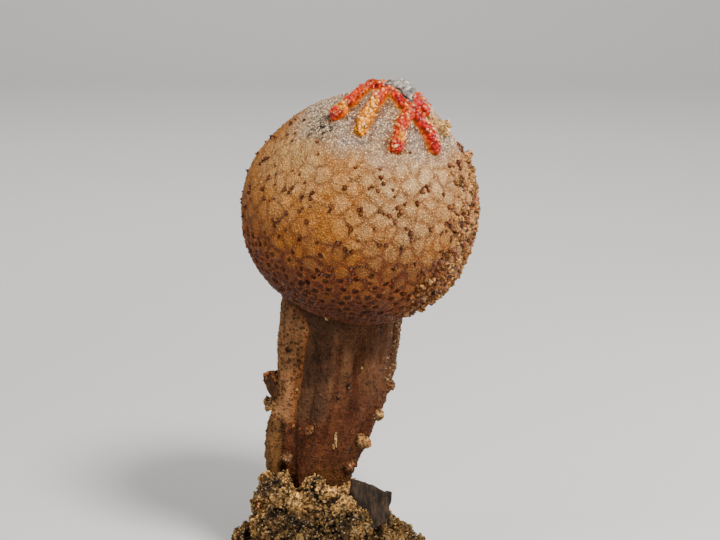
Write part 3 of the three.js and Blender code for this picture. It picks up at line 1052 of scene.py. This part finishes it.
def tip_piece():
    """The withered grey tip: a knob and a strip that lie along the mouth."""
    random = dice(71)
    knots = 6  # in each lump
    parts = []
    for polar, azimuth, radius, lift in TIP_LUMPS:
        centre = head.surface(direction([polar], [azimuth]), lift)
        middles = centre + random.normal(size=(knots, 3)) * radius * 0.28
        sizes = np.full((knots, 3), radius) * random.uniform(0.6, 0.8, (knots, 1))
        parts.append(lumps(middles, unit(random.normal(size=(knots, 3))), sizes, 0.15, 72))
    vertices, faces, _ = joined(parts)
    vertices, faces = remeshed(smooth_mesh("tip", vertices, faces), TIP_VOXEL)
    vertices = relaxed(vertices, faces, 12)
    normals = vertex_normals(vertices, faces)
    creases = step(0.3, 0.0, np.abs(noise(vertices, 1.5, 73)))
    creases = creases + 0.6 * step(0.3, 0.0, np.abs(noise(vertices, 3.4, 74)))
    vertices = relaxed(vertices - normals * (0.05 * creases)[:, None], faces, 2)
    # Painted shade: the tint darker in the creases.
    light = step(-0.6, 0.9, rough(vertices, 2.2, 3, 75) + 0.5 - creases)
    tint = mix(paint(TIP["dark"]), paint(TIP["ash"]), light)
    make("withered_tip", vertices, faces, "tip", tint, ["spore_case"])


mouth_piece()
tip_piece()


# ---- The stalk -----------------------


class Stalk:
    """Where a point lies round the stalk and how far up."""

    def __init__(self, vertices):
        self.levels = np.linspace(vertices[:, 2].min(), vertices[:, 2].max(), 12)
        self.middles = np.array(
            [vertices[np.abs(vertices[:, 2] - level) < 0.8, :2].mean(0) for level in self.levels]
        )

    def azimuth(self, points):
        middle = [np.interp(points[:, 2], self.levels, column) for column in self.middles.T]
        return np.degrees(np.arctan2(points[:, 0] - middle[0], middle[1] - points[:, 1]))


RIGHT_FURROW = 28  # degrees round the stalk
FRONT_FURROW = 3


def furrow(azimuth, z, middle, spread, foot, top):
    """1 in a furrow between two cords, falling to 0 beside it and towards the heights of its ends."""
    return hill(azimuth - middle, spread) * step(*foot, z) * step(*top, z)


def stalk_colour(stalk, vertices):
    """Linear colours: pale cords on the left, a recess, furrows and clefts darkened with painted shade,
    rosy flesh on the right, a brown foot, and painted shade under the head.
    """
    x, z = vertices[:, 0], vertices[:, 2]
    patchy = rough(vertices, (0.5, 0.5, 0.3), 3, 87)
    exact = stalk.azimuth(vertices) + 2 * patchy
    round_it = exact + 4 * patchy
    left = step(-46, -50, exact) * step(-160, -120, round_it)
    recess = step(-51, -46, exact) * step(4, -16, round_it)
    groove = furrow(exact, z, RIGHT_FURROW, 4, (10.5, 12.5), (17, 14.5))
    groove = groove + 0.6 * furrow(exact, z, FRONT_FURROW, 3.5, (8, 10), (18, 16))
    rosy = np.maximum(step(-8, 14, round_it), step(12, 10.5, z)) * step(15.5, 11, z)
    cleft = hill(x + 3.0 + 0.15 * patchy, 0.14) * step(12, 11, z)
    cleft = cleft + hill(x + 1.9 + 0.15 * patchy, 0.12) * step(11, 10, z)
    tint = coated(
        "brown",
        STALK,
        ("amber", left * step(9.8, 12.2, z) + 0.25 * patchy),
        # Painted shade in the recess.
        ("dark", 0.5 * recess * step(6.5, 12, z)),
        # Painted glow: light coming through the edge of the pale left cord.
        ("glow", 0.5 * hill(exact + 50, 3.5) * step(10, 13, z)),
        # Painted shade in the furrows between cords.
        ("groove", 0.8 * groove),
        ("russet", 0.75 * rosy * step(140, 80, np.abs(round_it))),
        ("straw", 0.9 * step(-2.9, -3.2, x + 0.2 * patchy) * step(12, 10.8, z)),
        # Painted shade in the clefts between cords.
        ("cleft", 0.7 * cleft * step(90, 60, np.abs(exact))),
        ("foot", 0.8 * step(9.3, 7.3, z) * step(-10, 10, round_it) * step(90, 55, round_it)),
        # Painted shade under the head.
        ("dark", 0.5 * step(17.2, 18.6, z + 0.5 * patchy)),
    )
    return tint * (1 + 0.25 * rough(vertices, 0.8, 3, 90))[:, None]


def stalk_piece():
    """Makes the stalk's flesh and returns what its grains need."""
    vertices, faces = fine_copy("stalk", 14)
    stalk = Stalk(vertices)
    normals = vertex_normals(vertices, faces)
    wrinkle = rough(vertices, (0.9, 0.9, 0.25), 3, 81)
    pimples = np.clip(noise(vertices, 2.4, 83), 0, 1)
    azimuth, z = stalk.azimuth(vertices), vertices[:, 2]
    dip = furrow(azimuth, z, RIGHT_FURROW, 5, (10.5, 12.5), (17.5, 15))
    dip = dip + 0.8 * furrow(azimuth, z, FRONT_FURROW, 5, (8, 10), (18, 16))
    swell = 0.12 * wrinkle + 0.1 * pimples + 0.04 * noise(vertices, 4.4, 84) - 0.28 * dip
    vertices = vertices + normals * swell[:, None]
    tint = stalk_colour(stalk, vertices)
    buried = step(0.5, -0.1, head.height(vertices))
    sunk = vertices + unit(head.centre - vertices) * (0.6 * buried)[:, None]
    pitted = 0.35 + 0.65 * step(-44, -52, stalk.azimuth(vertices)) * step(8.5, 11, vertices[:, 2])
    make("stalk_flesh", sunk, faces, "stalk", tint, ["stalk"], pitted)
    return stalk, vertices, normals, tint


def stalk_grains(stalk, vertices, normals, tint):
    """Fine grains all over the stalk, with golden ones along its upper right edge as painted glints."""
    random = dice(88)
    grains = random.permutation(np.flatnonzero(head.height(vertices) > 0.15))[:STALK_GRAINS]
    azimuth = stalk.azimuth(vertices)[grains]
    right = step(60, 80, azimuth) * step(125, 100, azimuth) * step(11, 14, vertices[grains, 2])
    size = random.uniform(*STALK_GRAIN_RADII, len(grains)) * (1 + 0.5 * right)
    made = studs(vertices[grains], normals[grains], size, 0.9 * size, GRAIN_PROFILE, 5, 91)
    cones, faces, owner, _ = made
    lift = 1.1 + 0.14 * random.normal(size=len(grains))
    shade = mix(tint[grains], paint(STALK["grain"]), 0.03) * lift[:, None]
    # Painted glints: golden grains along the upper right edge.
    gold = random.uniform(size=len(grains)) < 0.4 * right
    shade = mix(shade, paint(STALK["gold"]), 0.9 * gold)
    make("grains_on_the_stalk", cones, faces, "stalk", shade[owner])


stalk_surface = stalk_piece()
stalk_grains(*stalk_surface)


# ---- Soil ----------------------------


def soil_tint(points, seed):
    """Golden to dark brown, in patches and by chance, darker towards the bottom and the right, lighter on
    the top, partly painted light, and darkest low down in the middle of the front, a painted shadow.
    """
    patch = rough(points, 0.5, 3, seed)
    fine = rough(points, 2.6, 2, seed + 3)
    tint = coated(
        "tan",
        SOIL,
        ("gold", 0.4 + 0.6 * patch + 0.6 * fine),
        ("brown", step(0.1, 0.9, -patch - 0.3 * fine)),
        ("brown", 0.6 * step(4.0, 2.4, points[:, 2] + 0.5 * patch)),
    )
    # Painted shadow under the overhang, low in the middle of the front.
    shaded = step(5.8, 4.6, points[:, 2] + 0.7 * patch) * step(3.4, 2.2, np.abs(points[:, 0] + 0.9))
    # The top lighter, partly painted light; the front darkened by the painted shadow.
    lift = 1 + 0.55 * step(5.2, 7.0, points[:, 2]) - 0.7 * shaded * step(-1.5, -3.5, points[:, 1])
    # darker towards the right
    return tint * (lift - 0.4 * step(1.0, 3.6, points[:, 0]))[:, None]


# Loose grains of the clod, as (name, how many, least and greatest radius, detail, seed).
CLOD_GRAINS = [("coarse_grains", 260, 0.1, 0.22, 2, 101), ("fine_grains", 5200, 0.035, 0.11, 1, 103)]


def clod_pieces():
    """Makes the clod, lump on lump, and the loose grains on it. Returns the vertices of the clod."""
    vertices, faces = fine_copy("soil_clod", 4)
    normals = vertex_normals(vertices, faces)
    free = 1 - step(0.5, 0.15, vertices[:, 2])
    lump, level = rounded_cells(vertices, 420, 91, 0.15)
    aggregate, _ = rounded_cells(vertices, 60, 94, 0.08)
    crumb, crumb_level = rounded_cells(vertices, 9, 92, 0.03)
    swell = 0.42 * lump + 0.16 * level + 0.27 * aggregate**1.5 - 0.54
    swell = swell + 0.12 * crumb + 0.05 * crumb_level
    swell = swell + 0.22 * rough(vertices, 0.6, 3, 93) + 0.08 * rough(vertices, 2.6, 2, 95)
    vertices = vertices + normals * (swell * free)[:, None]
    vertices[:, 2] = np.maximum(vertices[:, 2], 0)
    # Painted shade: the hollows between lumps and crumbs turned nearly black, and the proud parts
    # lighter, painted light.
    shade = np.clip(0.45 * lump + 0.3 * aggregate + 0.45 * crumb, 0, 1)
    tint = mix(paint(SOIL["dark"]), 1.3 * soil_tint(vertices, 97), step(0.4, 0.95, shade))
    make("clod_of_soil", vertices, faces, "soil", tint, ["soil_clod"])

    random = dice(99)
    proud = random.uniform(size=len(vertices)) < shade**2
    places = random.permutation(np.flatnonzero(proud & (vertices[:, 2] > 0.35)))
    normals = vertex_normals(vertices, faces)
    for name, count, low, high, detail, seed in CLOD_GRAINS:
        here, places = places[:count], places[count:]
        size = random.uniform(low, high, len(here))
        centres = vertices[here] + normals[here] * (0.3 * size)[:, None]
        radii = size[:, None] * random.uniform(0.65, 1.1, (len(here), 3))
        grains, sides, owner = lumps(centres, normals[here], radii, 0.6, seed, detail)
        grains[:, 2] = np.maximum(grains[:, 2], 0.005)
        mood = random.uniform(-0.7, 0.7, len(here))[owner]
        tint = soil_tint(grains, 97) * (1.2 + 0.8 * mood)[:, None]
        make(name, grains, sides, "soil", tint)
    return vertices


# The crumbs' own colours. The other two on the crown are sandy.
CRUMB_TONES = {
    "crown_crumb_side": "9c7454",
    "stalk_crumb_left_high": "84583c",
    "stalk_crumb_left_low": "7c5e42",
    "stalk_crumb_right_high": "684a36",
    "stalk_crumb_right_ball": "a07c58",
    "stalk_crumb_right_middle": "946e4c",
    "stalk_crumb_right_low": "6c4832",
    "stalk_crumb_front": "744830",
    "stalk_crumb_front_left": "604330",
    "stalk_crumb_back": "70543a",
    "stalk_crumb_back_left": "70543a",
}
SANDY = "c49c6e"


def crumb_piece(node, index):
    """A crumb of soil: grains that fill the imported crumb's box and lean towards what it clings to."""
    low, high = (np.array(corner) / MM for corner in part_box(node))
    random = dice(200 + index)
    count = 26  # grains
    offsets = unit(random.normal(size=(count, 3))) * random.uniform(0, 1, (count, 1)) ** 0.5
    centres = (low + high) / 2 + offsets * (high - low) * 0.32
    anchor = head.centre if node.startswith("crown") else np.array([0.6, 0.6, (low + high)[2] / 2])
    centres = centres + unit(anchor - centres) * random.uniform(0, 0.35, (count, 1))
    size = np.median(high - low) * random.uniform(0.2, 0.42, (count, 1))
    radii = size * random.uniform(0.6, 1, (count, 3))
    vertices, faces, owner = lumps(centres, unit(offsets), radii, 0.8, 300 + index)
    mood = random.uniform(-0.6, 0.5, count)[owner] + 0.3 * noise(vertices, 2.5, 107)
    tint = paint(CRUMB_TONES.get(node, SANDY)) * (1 + mood)[:, None]
    make(node + "_grains", vertices, faces, "soil", tint, [node])


clod_surface = clod_pieces()
for index, node in enumerate(sorted(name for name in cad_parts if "crumb" in name)):
    crumb_piece(node, index)


# Bits stuck to the front of the stalk or of the clod, as (x, z, half width, half height, colour).
STALK_BITS = [
    (0.76, 10.2, 0.1, 0.5, "a08462"),
    (0.6, 9.6, 0.08, 0.2, "947450"),
    (-2.2, 10.85, 0.26, 0.16, "7a5038"),
    (-1.75, 10.7, 0.14, 0.1, "7a5038"),
    (2.55, 15.1, 0.26, 0.07, "9a8460"),
    (-1.95, 13.5, 0.1, 0.1, "9a8058"),
    (1.66, 13.9, 0.24, 0.18, "20130c"),
    (0.9, 13.1, 0.2, 0.14, "2a180e"),
    (-2.6, 16.2, 0.16, 0.2, "3a1a0c"),
]
CLOD_BITS = [
    (1.75, 7.3, 0.5, 0.22, "341c0e"),
    (2.1, 7.7, 0.26, 0.2, "52301a"),
    (-4.6, 5.6, 0.22, 0.24, "6a3018"),
]


def bits(name, surface, places, seed):
    """Flat flakes that lie on the front of a surface."""
    x, z, width, height = np.array([place[:4] for place in places]).T
    front = []
    for i in range(len(places)):
        apart = np.hypot(surface[:, 0] - x[i], surface[:, 2] - z[i])
        close = surface[apart < 0.25]
        front.append(close[np.argmin(close[:, 1])] if len(close) else surface[np.argmin(apart)])
    centres = np.stack([x, np.array(front)[:, 1] - 0.02, z], 1)
    upright = np.tile([0.0, 0.0, 1.0], (len(places), 1))
    radii = np.stack([width, 0.5 * np.minimum(width, height) + 0.05, height], 1)
    vertices, faces, owner = lumps(centres, upright, radii, 0.5, seed, 3, spin=False)
    colours = np.array([paint(place[4]) for place in places])[owner]
    tint = colours * (1 + 0.3 * noise(vertices, 3.0, seed))[:, None]
    make(name, vertices, faces, "soil", tint)


bits("bits_on_the_stalk", stalk_surface[1], STALK_BITS, 141)
bits("bits_on_the_clod", clod_surface, CLOD_BITS, 143)


# ---- Bark, root and husk -------------


def fibrous_piece(name, node, depth, codes, material, grow=(1, 1, 1), shift=(0, 0, 0)):
    """A packed sliver or chip, with fibres along Z and a depth of relief."""
    vertices, faces = fine_copy(node, 2)
    middle = vertices.mean(0)
    vertices = middle + (vertices - middle) * grow + shift
    normals = vertex_normals(vertices, faces)
    fibres = rough(vertices, (3.2, 3.2, 0.6), 3, 111)
    vertices = vertices + normals * (depth * fibres)[:, None]
    worn = rough(vertices, 1.4, 3, 113)
    tint = coated("dark", codes, ("pale", step(-0.8, 0.9, 0.7 * fibres + 0.6 * worn)))
    make(name, vertices, faces, material, tint, [node])


fibrous_piece("chip_of_bark", "bark_chip", 0.05, BARK, "bark")
fibrous_piece("broken_root", "root_stub", 0.035, ROOT, "root")
fibrous_piece("sliver_of_husk", "husk_sliver", 0.05, HUSK, "bark", (1.05, 1.3, 1.0), (0.22, 0, 0))


# ---- Stage, light and camera ---------


def stage():
    """A pale floor that curves up far behind."""
    width, front, back, bend, rise = 1400, -500, 420, 160, 700
    profile = [(front, 0.0), (back, 0.0)]
    profile += [
        (back + bend * math.sin(turn), bend * (1 - math.cos(turn)))
        for turn in np.linspace(0, math.pi / 2, 13)[1:]
    ]
    profile.append((back + bend, rise))
    vertices = [(x * MM, y * MM, z * MM) for y, z in profile for x in (-width, width)]
    faces = [(2 * i, 2 * i + 1, 2 * i + 3, 2 * i + 2) for i in range(len(profile) - 1)]
    mesh = smooth_mesh("floor", vertices, faces)
    pale = Shader("floor", Roughness=0.9)
    pale.set("Base Color", pale.blend(pale.noise(0.01, 2), (0.72, 0.71, 0.69), (0.76, 0.75, 0.73)))
    mesh.materials.append(MATERIALS["floor"])
    placed("floor", mesh)


def soft_light(name, place, size, power, aim, colour=(1, 1, 1)):
    data = bpy.data.lights.new(name, "AREA")
    data.shape = "DISK"
    data.size = size * MM
    data.energy = power
    data.color = colour
    made = placed(name, data)
    made.location = Vector(place) * MM
    made.rotation_euler = (Vector(aim) * MM - made.location).to_track_quat("-Z", "Y").to_euler()


def studio():
    aim = (2, 0, 20)
    soft_light("key", (55, -100, 140), 40, 0.48, aim, (1, 0.97, 0.93))
    soft_light("fill", (-120, -80, 90), 110, 0.12, aim)
    soft_light("side", (120, 20, 70), 60, 0.12, aim, (1, 0.98, 0.95))
    soft_light("backdrop", (0, 120, 330), 400, 1.6, (0, 640, 160))
    world = bpy.data.worlds.new("world")
    bpy.context.scene.world = world
    world.use_nodes = True
    world.node_tree.nodes["Background"].inputs["Color"].default_value = (1, 0.99, 0.97, 1)
    world.node_tree.nodes["Background"].inputs["Strength"].default_value = 0.18


def camera():
    low, high = CAD_BOX
    aim = (low + high) / 2 + Vector(CAMERA_AIM) * MM
    rise = math.radians(CAMERA_ELEVATION)
    data = bpy.data.cameras.new("camera")
    data.lens = CAMERA_LENS
    data.sensor_width = 36
    data.clip_start = 0.001
    made = placed("camera", data)
    made.location = aim + Vector((0, -math.cos(rise), math.sin(rise))) * CAMERA_DISTANCE * MM
    made.rotation_euler = (math.pi / 2 - rise, 0, 0)
    bpy.context.scene.camera = made


stage()
studio()
camera()
